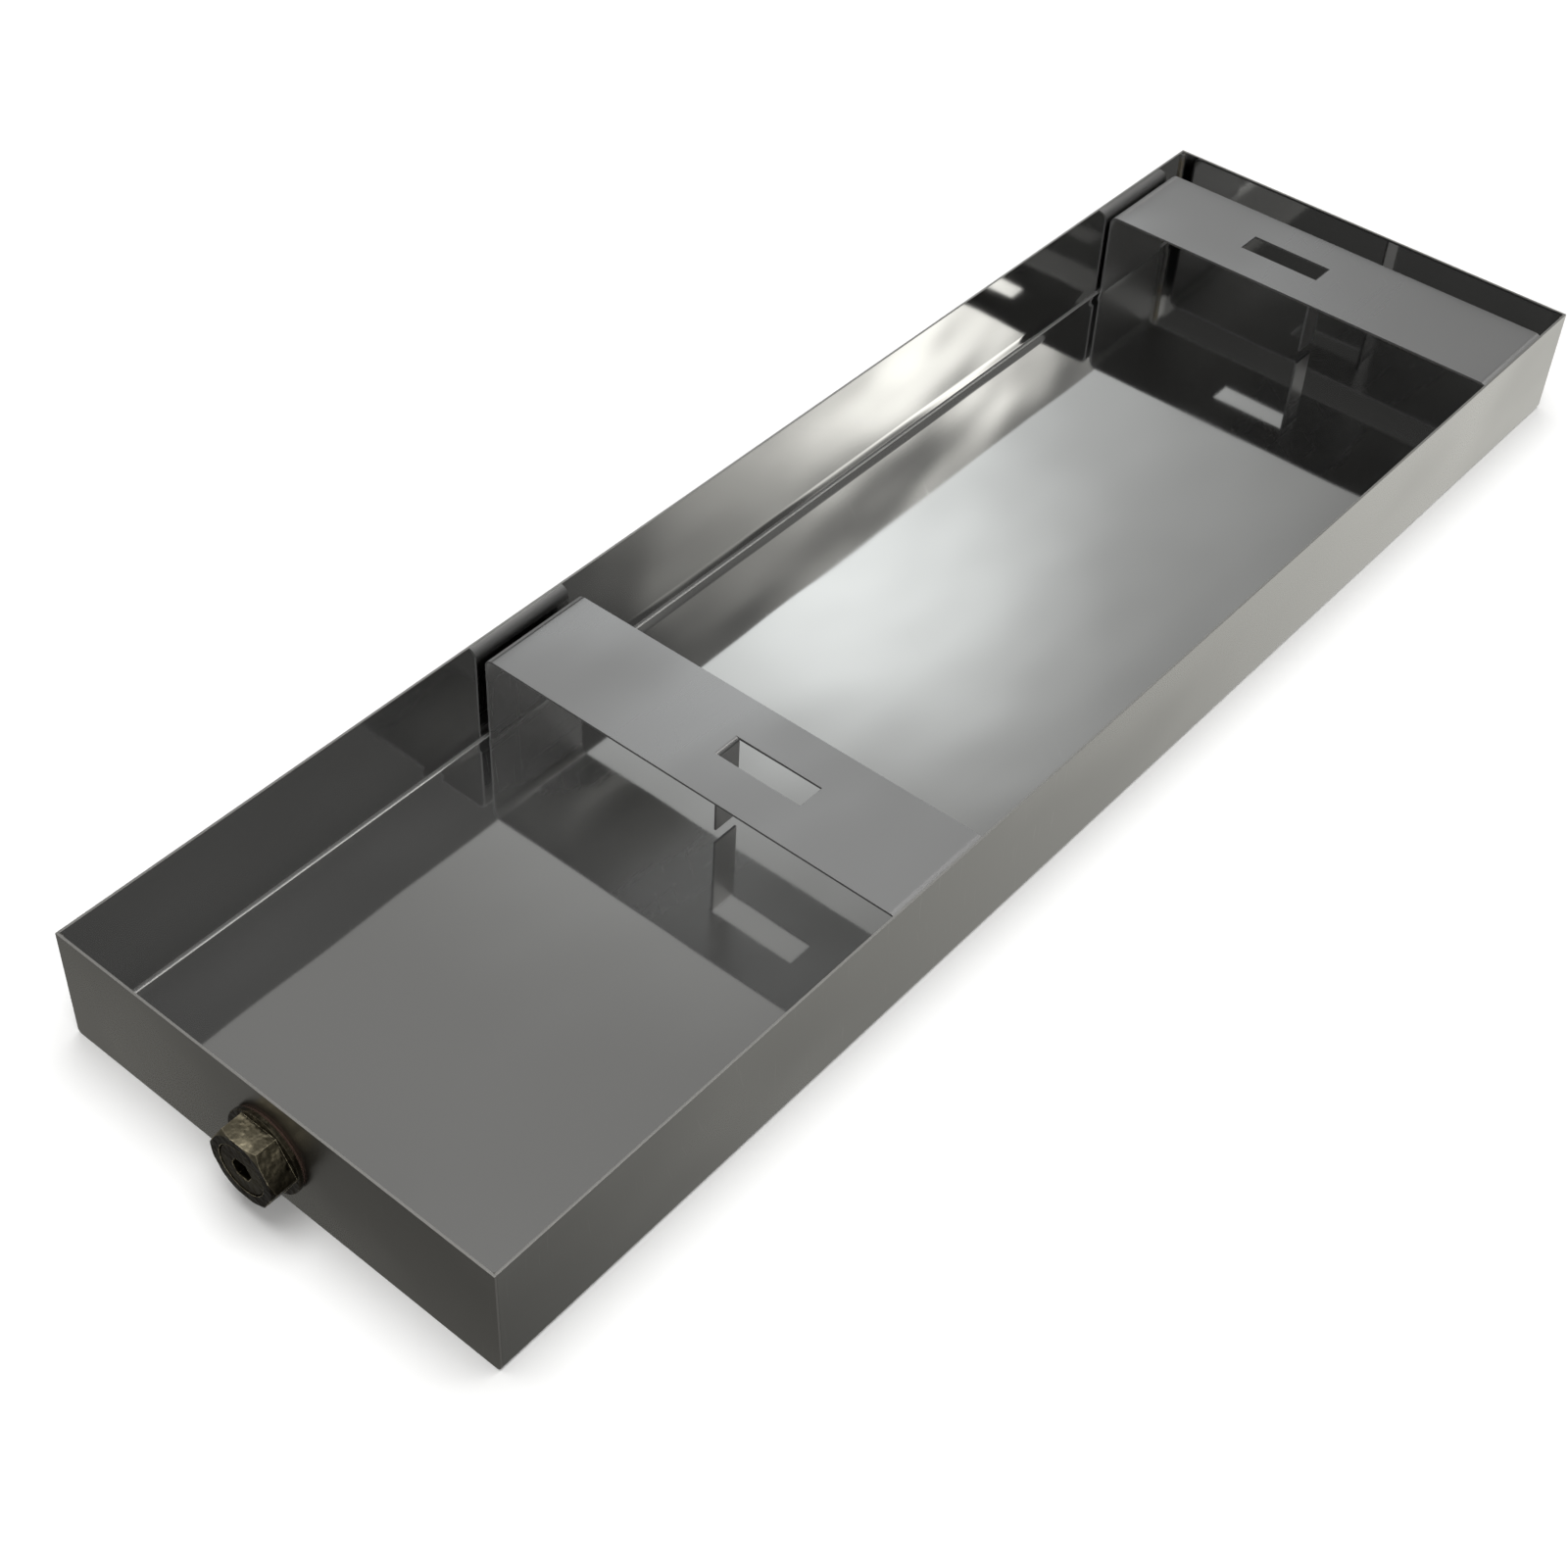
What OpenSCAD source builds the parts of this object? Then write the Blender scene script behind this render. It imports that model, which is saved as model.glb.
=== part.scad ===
// Long shallow oil drain pan: a folded steel tray with welded ends, two lift-out bridges
// that carry the thing being drained, and a brass drain fitting with a screw plug.
// Millimetres. X runs across the pan, Y along it with the drain at -Y, Z up from the ground.

/* [Pan] */
// Outside length of the pan
pan_length = 1000; // [900:10:1300]
// Outside width of the pan
pan_width = 300; // [280:5:400]
// Outside height of the pan
pan_height = 75; // [75:1:110]
// Thickness of all the sheet metal
sheet = 1.5; // [1:0.25:2]
// Outside radius of the pan's bends, and of the leg folded out of a hand slot
bend_radius = 3; // [2.5:0.25:3]
// Leg of the weld beads inside the ends
weld_leg = 2; // [1.5:0.25:2.5]

/* [Bridges] */
// Width of a bridge, along the pan
bridge_width = 75; // [60:1:90]
// Length of a bridge, across the pan
bridge_length = 292; // [270:1:292]
// Height of a bridge over the pan's floor
bridge_height = 63; // [55:1:70]
// Outside radius of the bends at a bridge's ends
bridge_bend = 6; // [3:0.5:8]
// Length of the hand slot
slot_length = 57; // [45:1:65]
// Width of the hand slot and of the leg folded out of it
slot_width = 18; // [14:1:24]
// How far the folded leg reaches down from the bridge's top
leg_drop = 58; // [45:1:60]
// Distance from the pan's drain end to the front bridge
front_bridge_at = 292; // [150:1:400]
// Distance from the pan's drain end to the rear bridge
rear_bridge_at = 908; // [500:1:920]
// Sideways place of the front bridge
front_bridge_x = 0.9; // [-0.9:0.1:0.9]
// Sideways place of the rear bridge
rear_bridge_x = -0.9; // [-0.9:0.1:0.9]

/* [Drain fitting] */
// Height of the drain's axis over the ground
drain_z = 36; // [32:1:44]
// Across flats of the fitting's hexagon and of its lock nut
hex_flats = 41; // [38:1:44]
// Length of the fitting's hexagon
hex_length = 14; // [12:0.5:18]
// Outside diameter of the fitting's collar
collar_diameter = 50; // [48:1:56]
// Thickness of the fitting's collar
collar_thickness = 3; // [2:0.5:4]
// Diameter of the fitting's threaded shank
shank_diameter = 33.2; // [30:0.1:34]
// Length of the shank inward from the collar
shank_length = 12; // [12:0.5:14]
// Diameter of the bore that the oil leaves by
bore_diameter = 21; // [18:0.5:22]
// Thickness of the two fibre washers
washer_thickness = 1.5; // [1:0.25:2]
// Thickness of the lock nut
nut_thickness = 6; // [5:0.5:7]

/* [Drain plug] */
// Length of the plug's threaded shank
plug_shank_length = 12; // [10:0.5:13]
// Diameter of the plug's round head
plug_head_diameter = 29.6; // [28:0.1:30]
// Thickness of the plug's head
plug_head_thickness = 2.5; // [2:0.25:3]
// Across flats of the plug's key socket
key_flats = 12; // [10:1:14]
// Depth of the plug's key socket
key_depth = 8; // [6:0.5:9]
// Thickness of the plug's rubber seal
seal_thickness = 1.4; // [1:0.1:1.6]

/* [Hidden] */
$fn = 96;

// The ends of the pan, and the floor that the bridges stand on
front_y = -pan_length / 2;
rear_y = pan_length / 2;
floor_z = sheet;
overshoot = 5;

// Bridges: their middles, and the hand slot's near end from the middle of the strap
front_bridge_y = front_y + front_bridge_at + bridge_width / 2;
rear_bridge_y = front_y + rear_bridge_at + bridge_width / 2;
slot_start = 1;

// Clearances of the drain parts: sliding fits, hole in the wall, and faces that turn on each other
thread_gap = 0.05;
hole_gap = 0.3;
face_gap = 0.05;
head_gap = 0.4;
head_recess = 0.5;
hex_chamfer = 1.6;

// Drain: each value is a distance outward from the pan's end face
collar_at = washer_thickness;
hex_at = collar_at + collar_thickness;
hex_face = hex_at + hex_length;
seat_depth = head_recess + plug_head_thickness + seal_thickness + 2 * face_gap;
seat_at = hex_face - seat_depth;
plug_head_at = seat_at + seal_thickness + 2 * face_gap;
bore_radius = bore_diameter / 2;
shank_radius = shank_diameter / 2;
plug_radius = bore_radius - thread_gap;
seat_radius = (plug_head_diameter + head_gap * 2) / 2;
hole_radius = shank_radius + hole_gap;
washer_radius = collar_diameter / 2 - 1;
seal_radius = plug_head_diameter / 2 - 0.8;

// Upright U of a folded sheet, seen from its end, standing on y = 0
module channel_outline(width, height, radius) {
    flat_width = width - 2 * radius;
    translate([-flat_width / 2, 0]) square([flat_width, height]);
    translate([-width / 2, radius]) square([width, height - radius]);
    for (side = [-1, 1]) translate([side * flat_width / 2, radius]) circle(radius);
}

module channel_inside(width, height, radius) {
    translate([0, sheet]) channel_outline(width - 2 * sheet, height + overshoot, radius - sheet);
}

module channel(width, height, radius) {
    difference() {
        channel_outline(width, height, radius);
        channel_inside(width, height, radius);
    }
}

// Stands an outline drawn in X and Z up, and runs it from y_low to y_high
module along_y(y_low, y_high) {
    translate([0, y_high, 0]) rotate([90, 0, 0]) linear_extrude(y_high - y_low) children();
}

// Lays a turned or hexagonal piece on the drain's axis, its base this far out from the end face
module on_drain(outward) {
    translate([0, front_y - outward, drain_z]) rotate([90, 0, 0]) children();
}

module hexagon(flats, length) {
    cylinder(d = flats / cos(30), h = length, $fn = 6);
}

module drilled(radius, length) {
    difference() {
        children();
        translate([0, 0, -overshoot]) cylinder(r = radius, h = length + 2 * overshoot);
    }
}

// Floor and both long sides, folded from one sheet
module tray_shell() {
    color("silver")
    along_y(front_y + sheet, rear_y - sheet) channel(pan_width, pan_height, bend_radius);
}

module end_wall(y_low) {
    along_y(y_low, y_low + sheet) channel_outline(pan_width, pan_height, bend_radius);
}

module front_wall() {
    color("lightgray")
    difference() {
        end_wall(front_y);
        on_drain(-2 * sheet) cylinder(r = hole_radius, h = 4 * sheet);
    }
}

module rear_wall() {
    color("lightgray") end_wall(rear_y - sheet);
}

// Round bead in the corner between an end wall and the tray, up one side, across and up the other
module seam_bead(corner_y, y_low, y_high) {
    intersection() {
        union() {
            translate([0, corner_y, floor_z]) rotate([0, 90, 0])
                cylinder(r = weld_leg, h = pan_width, center = true, $fn = 24);
            for (side = [-1, 1])
                translate([side * (pan_width / 2 - sheet), corner_y, 0])
                    cylinder(r = weld_leg, h = pan_height - sheet, $fn = 24);
        }
        along_y(y_low, y_high) channel_inside(pan_width, pan_height, bend_radius);
    }
}

module front_seam_weld() {
    corner_y = front_y + sheet;
    color("gray") seam_bead(corner_y, corner_y, corner_y + weld_leg);
}

module rear_seam_weld() {
    corner_y = rear_y - sheet;
    color("gray") seam_bead(corner_y, corner_y - weld_leg, corner_y);
}

// The leg folded down out of the hand slot, with its bend, drawn with the slot's end at x = 0
module folded_leg_outline() {
    translate([-bend_radius, -bend_radius]) intersection() {
        difference() {
            circle(bend_radius);
            circle(bend_radius - sheet);
        }
        square(bend_radius);
    }
    translate([-sheet, -leg_drop]) square([sheet, leg_drop - bend_radius]);
}

// A strap with its two ends folded down as legs, and a third leg folded out of its hand slot
module bridge() {
    cut_length = slot_length + bend_radius;
    translate([0, 0, floor_z]) {
        difference() {
            translate([0, 0, bridge_height]) mirror([0, 0, 1])
                along_y(-bridge_width / 2, bridge_width / 2)
                    channel(bridge_length, bridge_height, bridge_bend);
            translate([slot_start - bend_radius, -slot_width / 2, bridge_height - 2 * sheet])
                cube([cut_length, slot_width, 4 * sheet]);
        }
        translate([slot_start, 0, bridge_height])
            along_y(-slot_width / 2, slot_width / 2) folded_leg_outline();
    }
}

module front_bridge() {
    color("gainsboro") translate([front_bridge_x, front_bridge_y, 0]) bridge();
}

// The same piece turned end for end, so its slot lies on the other side of the middle
module rear_bridge() {
    color("gainsboro") translate([rear_bridge_x, rear_bridge_y, 0]) rotate([0, 0, 180]) bridge();
}

// Hexagon whose outer corners are turned off at 30 degrees
module chamfered_hexagon(flats, length) {
    corner = flats / cos(30) / 2;
    intersection() {
        hexagon(flats, length);
        rotate_extrude() polygon([
            [0, 0], [corner, 0], [corner, length - hex_chamfer],
            [corner - hex_chamfer / tan(30), length], [0, length]]);
    }
}

// Collar, hexagon and threaded shank in one brass piece, with the oil's bore through it
module drain_fitting() {
    color("darkgoldenrod")
    difference() {
        union() {
            on_drain(collar_at - shank_length) cylinder(r = shank_radius, h = shank_length);
            on_drain(collar_at) cylinder(d = collar_diameter, h = collar_thickness);
            on_drain(hex_at) chamfered_hexagon(hex_flats, hex_length);
        }
        on_drain(collar_at - shank_length - overshoot)
            cylinder(r = bore_radius, h = shank_length + hex_face + 2 * overshoot);
        on_drain(seat_at) cylinder(r = seat_radius, h = seat_depth + overshoot);
    }
}

module fibre_washer(outward) {
    on_drain(outward) drilled(hole_radius, washer_thickness)
        cylinder(r = washer_radius, h = washer_thickness);
}

module outer_washer() {
    color("saddlebrown") fibre_washer(0);
}

module inner_washer() {
    color("saddlebrown") fibre_washer(-sheet - washer_thickness);
}

module lock_nut() {
    color("goldenrod")
    on_drain(-sheet - washer_thickness - nut_thickness)
        drilled(shank_radius + thread_gap, nut_thickness) hexagon(hex_flats, nut_thickness);
}

// Screw plug: threaded shank, round head and a hexagonal socket for the key
module drain_plug() {
    color("peru")
    difference() {
        union() {
            on_drain(plug_head_at - plug_shank_length)
                cylinder(r = plug_radius, h = plug_shank_length);
            on_drain(plug_head_at) cylinder(d = plug_head_diameter, h = plug_head_thickness);
        }
        on_drain(plug_head_at + plug_head_thickness - key_depth)
            hexagon(key_flats, key_depth + overshoot);
    }
}

module plug_seal() {
    color("black")
    on_drain(seat_at + face_gap)
        drilled(plug_radius + thread_gap, seal_thickness)
            cylinder(r = seal_radius, h = seal_thickness);
}

tray_shell();
front_wall();
rear_wall();
front_seam_weld();
rear_seam_weld();
front_bridge();
rear_bridge();
drain_fitting();
outer_washer();
inner_washer();
lock_nut();
drain_plug();
plug_seal();
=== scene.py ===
"""Oil drain pan: a folded tray of polished stainless sheet, two lift-out bridges, a brass drain."""
import math
from contextlib import contextmanager

import bmesh
import bpy
from mathutils import Matrix, Vector


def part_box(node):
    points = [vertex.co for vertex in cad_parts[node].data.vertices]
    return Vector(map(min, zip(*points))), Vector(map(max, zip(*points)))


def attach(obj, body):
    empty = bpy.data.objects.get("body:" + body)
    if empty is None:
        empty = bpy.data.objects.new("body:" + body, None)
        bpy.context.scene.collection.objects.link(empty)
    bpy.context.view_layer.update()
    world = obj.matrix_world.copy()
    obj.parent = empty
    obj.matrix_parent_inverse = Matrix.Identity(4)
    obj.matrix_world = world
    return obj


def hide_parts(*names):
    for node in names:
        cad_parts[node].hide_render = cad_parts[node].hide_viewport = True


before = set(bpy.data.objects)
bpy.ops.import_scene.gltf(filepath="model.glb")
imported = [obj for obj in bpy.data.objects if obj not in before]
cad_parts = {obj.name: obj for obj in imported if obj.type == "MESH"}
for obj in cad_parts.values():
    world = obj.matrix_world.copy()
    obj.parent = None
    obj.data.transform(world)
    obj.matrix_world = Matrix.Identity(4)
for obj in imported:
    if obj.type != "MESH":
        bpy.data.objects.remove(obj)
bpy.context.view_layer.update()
MM = 0.001
MERGE_DISTANCE = 0.002 * MM


# ---------------------------------------------------------------- sizes, worked out from the frame

def corners(node):
    low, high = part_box(node)
    return Vector(low), Vector(high)


tray_low, tray_high = corners("tray_shell")
front_low, front_high = corners("front_wall")
rear_low, rear_high = corners("rear_wall")
fitting_low, fitting_high = corners("drain_fitting")
outer_washer_low, outer_washer_high = corners("outer_washer")
inner_washer_low, inner_washer_high = corners("inner_washer")
nut_low, nut_high = corners("lock_nut")
plug_low, plug_high = corners("drain_plug")
seal_low, seal_high = corners("plug_seal")

HALF_WIDTH = tray_high.x
RIM = tray_high.z
FRONT = front_low.y
REAR = rear_high.y
SHEET = front_high.y - front_low.y
PAN_BEND = 3 * MM
RAW_EDGE = 0.2 * MM

STRAP_BEND = 6 * MM
SLOT_LENGTH = 57 * MM
SLOT_WIDTH = 18 * MM
SLOT_START = 1 * MM
LEG_DROP = 58 * MM

DRAIN_HEIGHT = (plug_low.z + plug_high.z) / 2
HEX_FLATS = nut_high.z - nut_low.z
COLLAR_RADIUS = fitting_high.x
COLLAR_THICKNESS = 3 * MM
SHANK_RADIUS = 16.6 * MM
BORE_RADIUS = 10.5 * MM
HOLE_RADIUS = 16.9 * MM
SEAT_RADIUS = 15.2 * MM
SEAT_FACE = seal_high.y + 0.05 * MM
HEAD_RADIUS = plug_high.x
HEAD_INNER_FACE = plug_low.y + 2.5 * MM
PLUG_RADIUS = 10.45 * MM
THREAD_DEPTH = 1.1 * MM
THREAD_PITCH = 1.814 * MM
KEY_FLATS = 12 * MM
KEY_DEPTH = 8 * MM
HEX_CHAMFER = 1.6 * MM
NUT_CHAMFER = 1 * MM
CHAMFER_SLOPE = math.sqrt(3)
CONE_PLAY = 0.02 * MM
ROUND_STEPS = 96
THREAD_STEPS = 40


# ---------------------------------------------------------------- modelling helpers

def pick(piece):
    """Make this the only selected object, and the active one."""
    bpy.ops.object.select_all(action="DESELECT")
    bpy.context.view_layer.objects.active = piece
    piece.select_set(True)


@contextmanager
def editing(piece):
    """Edit mode on one piece."""
    pick(piece)
    bpy.ops.object.mode_set(mode="EDIT")
    yield
    bpy.ops.object.mode_set(mode="OBJECT")


def choose(piece, kind, test):
    """In edit mode, select only the verts, edges or faces whose middle passes the test."""
    bpy.ops.mesh.select_mode(type=kind.upper())
    bpy.ops.mesh.select_all(action="DESELECT")
    mesh = bmesh.from_edit_mesh(piece.data)
    for part in {"vert": mesh.verts, "edge": mesh.edges, "face": mesh.faces}[kind]:
        points = [part.co] if kind == "vert" else [vert.co for vert in part.verts]
        if test(sum(points, Vector()) / len(points), part):
            part.select_set(True)
    bmesh.update_edit_mesh(piece.data)


def near(first, second, slack=0.01 * MM):
    return abs(first - second) < slack


def settle(piece):
    """Put the piece's place, turn and size into its mesh."""
    pick(piece)
    bpy.ops.object.transform_apply(location=True, rotation=True, scale=True)
    return piece


def start(name, primitive, scale=(1, 1, 1), **settings):
    """A named primitive at its size and place."""
    bpy.ops.object.select_all(action="DESELECT")
    getattr(bpy.ops.mesh, f"primitive_{primitive}_add")(**settings)
    piece = bpy.context.object
    piece.name = name
    piece.scale = scale
    return settle(piece)


def apply_modifier(piece, kind, **settings):
    pick(piece)
    modifier = piece.modifiers.new(kind.lower(), kind)
    for key, value in settings.items():
        setattr(modifier, key, value)
    bpy.ops.object.modifier_apply(modifier=modifier.name)


def combine(piece, tool, operation="DIFFERENCE"):
    """Cut the tool from the piece, join it on, or keep only what they share."""
    apply_modifier(piece, "BOOLEAN", object=tool, operation=operation, solver="EXACT")
    bpy.data.objects.remove(tool, do_unlink=True)


def join(piece, *others):
    pick(piece)
    for other in others:
        other.select_set(True)
    bpy.ops.object.join()


def soften(piece, width, segments=2, angle=30):
    apply_modifier(piece, "BEVEL", width=width, segments=segments, limit_method="ANGLE",
                   angle_limit=math.radians(angle), use_clamp_overlap=True)


def roll_edge(test, piece, centre, from_side, to_side, steps):
    """Carry the chosen open edge a quarter turn round a bend, as a folding press does."""
    choose(piece, "edge", test)
    bpy.ops.mesh.spin(steps=steps, angle=math.pi / 2, center=centre, axis=to_side.cross(from_side))


def face_outward(piece, middle):
    """Make the faces agree, and turn them all if they look at the middle."""
    with editing(piece):
        bpy.ops.mesh.select_all(action="SELECT")
        bpy.ops.mesh.remove_doubles(threshold=MERGE_DISTANCE)
        bpy.ops.mesh.normals_make_consistent(inside=False)
        mesh = bmesh.from_edit_mesh(piece.data)
        outward = sum(face.normal.dot(face.calc_center_median() - middle) * face.calc_area()
                      for face in mesh.faces)
        if outward < 0:
            bpy.ops.mesh.flip_normals()


def give_faces(piece, index, test):
    """Put one of the piece's finishes on the faces that pass the test."""
    with editing(piece):
        choose(piece, "face", test)
        piece.active_material_index = index
        bpy.ops.object.material_slot_assign()


def wear(piece, *finishes):
    for finish in finishes:
        piece.data.materials.append(finish)


def finish_piece(piece, body, node, smooth_angle=38):
    """Smooth the rounded stretches, keep the flats flat, and hand the piece to its body."""
    pick(piece)
    bpy.ops.object.shade_smooth_by_angle(angle=math.radians(smooth_angle))
    apply_modifier(piece, "WEIGHTED_NORMAL", mode="FACE_AREA", weight=100, keep_sharp=True)
    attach(piece, body)
    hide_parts(node)


def turned(name, outer_face, radius, depth, steps=ROUND_STEPS):
    """A bar on the drain's axis, round or with six sides; outer_face is the y it begins at."""
    return start(name, "cylinder", vertices=steps, radius=radius, depth=depth,
                 location=(0, outer_face + depth / 2, DRAIN_HEIGHT),
                 rotation=(math.pi / 2, math.pi / 6 if steps == 6 else 0.0, 0))


# ---------------------------------------------------------------- node helpers

class Nodes:
    """A node tree with short calls for adding and joining nodes."""

    def __init__(self, tree):
        self.tree = tree

    def add(self, kind, **settings):
        made = self.tree.nodes.new(kind)
        for key, value in settings.items():
            setattr(made, key, value)
        return made

    def link(self, source, target):
        self.tree.links.new(source, target)

    def put(self, socket, value):
        if isinstance(value, bpy.types.NodeSocket):
            self.link(value, socket)
        else:
            socket.default_value = value

    def math(self, operation, first, second=0.0, third=None):
        made = self.add("ShaderNodeMath", operation=operation)
        self.put(made.inputs[0], first)
        self.put(made.inputs[1], second)
        if third is not None:
            self.put(made.inputs[2], third)
        return made.outputs[0]

    def span(self, value, low, high, to_low=0.0, to_high=1.0, kind="SMOOTHSTEP"):
        made = self.add("ShaderNodeMapRange", interpolation_type=kind)
        for socket, number in zip(made.inputs, (value, low, high, to_low, to_high)):
            self.put(socket, number)
        return made.outputs[0]

    def mix(self, factor, first, second, blend="MIX"):
        made = self.add("ShaderNodeMix", data_type="RGBA", blend_type=blend)
        self.put(made.inputs[0], factor)
        self.put(made.inputs[6], first)
        self.put(made.inputs[7], second)
        return made.outputs[2]

    def noise(self, vector, scale, detail=3.0, roughness=0.5, stretch=None):
        if stretch:
            mapping = self.add("ShaderNodeMapping")
            mapping.inputs["Scale"].default_value = stretch
            self.link(vector, mapping.inputs["Vector"])
            vector = mapping.outputs[0]
        made = self.add("ShaderNodeTexNoise")
        self.link(vector, made.inputs["Vector"])
        self.put(made.inputs["Scale"], scale)
        made.inputs["Detail"].default_value = detail
        made.inputs["Roughness"].default_value = roughness
        return made.outputs["Fac"]

    def parts(self, vector):
        made = self.add("ShaderNodeSeparateXYZ")
        self.link(vector, made.inputs[0])
        return made.outputs


def group(name, inputs, outputs):
    """A new shader node group, with its helper, its input sockets and its output node."""
    tree = bpy.data.node_groups.new(name, "ShaderNodeTree")
    kinds = {"f": "NodeSocketFloat", "c": "NodeSocketColor", "v": "NodeSocketVector"}
    for label, (kind, default) in inputs.items():
        socket = tree.interface.new_socket(label, in_out="INPUT", socket_type=kinds[kind])
        if default is not None:
            socket.default_value = default
    for label, kind in outputs.items():
        tree.interface.new_socket(label, in_out="OUTPUT", socket_type=kinds[kind])
    nodes = Nodes(tree)
    source = nodes.add("NodeGroupInput").outputs
    target = nodes.add("NodeGroupOutput").inputs
    return tree, nodes, source, target


def place_group(nodes, tree, **values):
    made = nodes.add("ShaderNodeGroup", node_tree=tree)
    for label, value in values.items():
        nodes.put(made.inputs[label.replace("_", " ")], value)
    return made.outputs


def material(name, metallic=1.0, **fixed):
    """A material with one Principled BSDF, ready for its patterns."""
    made = bpy.data.materials.new(name)
    made.use_nodes = True
    nodes = Nodes(made.node_tree)
    made.node_tree.nodes.clear()
    shader = nodes.add("ShaderNodeBsdfPrincipled")
    shader.inputs["Metallic"].default_value = metallic
    for label, value in fixed.items():
        shader.inputs[label.replace("_", " ")].default_value = value
    output = nodes.add("ShaderNodeOutputMaterial")
    nodes.link(shader.outputs[0], output.inputs["Surface"])
    place = nodes.add("ShaderNodeTexCoord").outputs["Object"]
    return made, nodes, shader, place


def bump(nodes, shader, height, strength, distance):
    made = nodes.add("ShaderNodeBump")
    made.inputs["Strength"].default_value = strength
    made.inputs["Distance"].default_value = distance
    nodes.link(height, made.inputs["Height"])
    nodes.link(made.outputs[0], shader.inputs["Normal"])


# ---------------------------------------------------------------- shared effects

def make_rolled_grain():
    """Fine lines along the rolling direction, soft smudges of handling, and a gentle ripple."""
    tree, nodes, source, target = group(
        "rolled_grain",
        {"Place": ("v", None), "Line Scale": ("f", 900.0), "Smudge Scale": ("f", 9.0)},
        {"Lines": "f", "Smudges": "f", "Height": "f"})
    lines = nodes.noise(source["Place"], source["Line Scale"], 2.0, 0.6,
                        stretch=(1.0, 0.012, 1.0))
    smudges = nodes.noise(source["Place"], source["Smudge Scale"], 2.0, 0.45,
                          stretch=(1.0, 0.6, 1.0))
    ripple = nodes.noise(source["Place"], 12.0, 1.0, 0.4, stretch=(1.0, 0.7, 1.0))
    nodes.link(lines, target["Lines"])
    nodes.link(nodes.span(smudges, 0.42, 0.68), target["Smudges"])
    nodes.link(nodes.math("MULTIPLY_ADD", lines, 0.0015, ripple), target["Height"])
    return tree


def make_speckle():
    """Small pits and grains of a matt or handled surface, even in all directions."""
    tree, nodes, source, target = group(
        "speckle",
        {"Place": ("v", None), "Scale": ("f", 1200.0)},
        {"Grains": "f", "Pits": "f", "Patches": "f"})
    grains = nodes.noise(source["Place"], source["Scale"], 3.0, 0.65)
    patch_scale = nodes.math("MULTIPLY", source["Scale"], 0.06)
    patches = nodes.noise(source["Place"], patch_scale, 4.0, 0.6)
    cells = nodes.add("ShaderNodeTexVoronoi")
    nodes.link(source["Place"], cells.inputs["Vector"])
    nodes.link(nodes.math("MULTIPLY", source["Scale"], 0.3), cells.inputs["Scale"])
    nodes.link(grains, target["Grains"])
    nodes.link(nodes.span(cells.outputs["Distance"], 0.0, 0.22, 1.0, 0.0), target["Pits"])
    nodes.link(nodes.span(patches, 0.4, 0.65), target["Patches"])
    return tree


def make_edge_wear():
    """Where edges and corners stand out and rub bright, broken up by a fine noise."""
    tree, nodes, source, target = group(
        "edge_wear",
        {"Place": ("v", None), "Reach": ("f", 0.5 * MM), "Breakup": ("f", 500.0)},
        {"Worn": "f"})
    rounded = nodes.add("ShaderNodeBevel", samples=6)
    nodes.link(source["Reach"], rounded.inputs["Radius"])
    true_face = nodes.add("ShaderNodeNewGeometry").outputs["Normal"]
    meeting = nodes.add("ShaderNodeVectorMath", operation="DOT_PRODUCT")
    nodes.link(rounded.outputs[0], meeting.inputs[0])
    nodes.link(true_face, meeting.inputs[1])
    edge = nodes.span(meeting.outputs["Value"], 0.82, 0.99, 1.0, 0.0)
    chips = nodes.noise(source["Place"], source["Breakup"], 3.0, 0.6)
    chips = nodes.span(chips, 0.35, 0.6, 0.35, 1.0)
    nodes.link(nodes.math("MULTIPLY", edge, chips), target["Worn"])
    return tree


def make_scratches():
    """Sparse hairline scratches, nearly straight, all on about the same slant."""
    tree, nodes, source, target = group(
        "scratches",
        {"Place": ("v", None), "Scale": ("f", 16.0), "Turn": ("f", 0.6)},
        {"Marks": "f"})
    swirl = nodes.add("ShaderNodeTexNoise")
    swirl.inputs["Scale"].default_value = 5.0
    nodes.link(source["Place"], swirl.inputs["Vector"])
    bent = nodes.add("ShaderNodeVectorMath", operation="MULTIPLY_ADD")
    nodes.link(swirl.outputs["Color"], bent.inputs[0])
    bent.inputs[1].default_value = (0.03, 0.03, 0.03)
    nodes.link(source["Place"], bent.inputs[2])
    turned_place = nodes.add("ShaderNodeVectorRotate", rotation_type="Z_AXIS")
    nodes.link(bent.outputs[0], turned_place.inputs["Vector"])
    nodes.link(source["Turn"], turned_place.inputs["Angle"])
    streaks = nodes.noise(turned_place.outputs[0], source["Scale"], 1.0, 0.5,
                          stretch=(1.0, 60.0, 1.0))
    nodes.link(nodes.span(streaks, 0.68, 0.78), target["Marks"])
    return tree


ROLLED_GRAIN = make_rolled_grain()
SPECKLE = make_speckle()
EDGE_WEAR = make_edge_wear()
SCRATCHES = make_scratches()


# ---------------------------------------------------------------- finishes

def shade(colour, factor):
    return (*(part * factor for part in colour), 1.0)


def fold_mask(nodes, place, reach, low, high):
    """Where the sheet is bent: the outermost reach of the width, between two heights."""
    x, _, z = nodes.parts(place)
    inner = HALF_WIDTH - reach
    beyond = nodes.span(nodes.math("ABSOLUTE", x), inner, inner + 1 * MM)
    above = nodes.span(z, low - 1 * MM, low)
    below = nodes.span(z, high, high + 1 * MM, 1.0, 0.0)
    return nodes.math("MULTIPLY", beyond, nodes.math("MULTIPLY", above, below))


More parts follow.
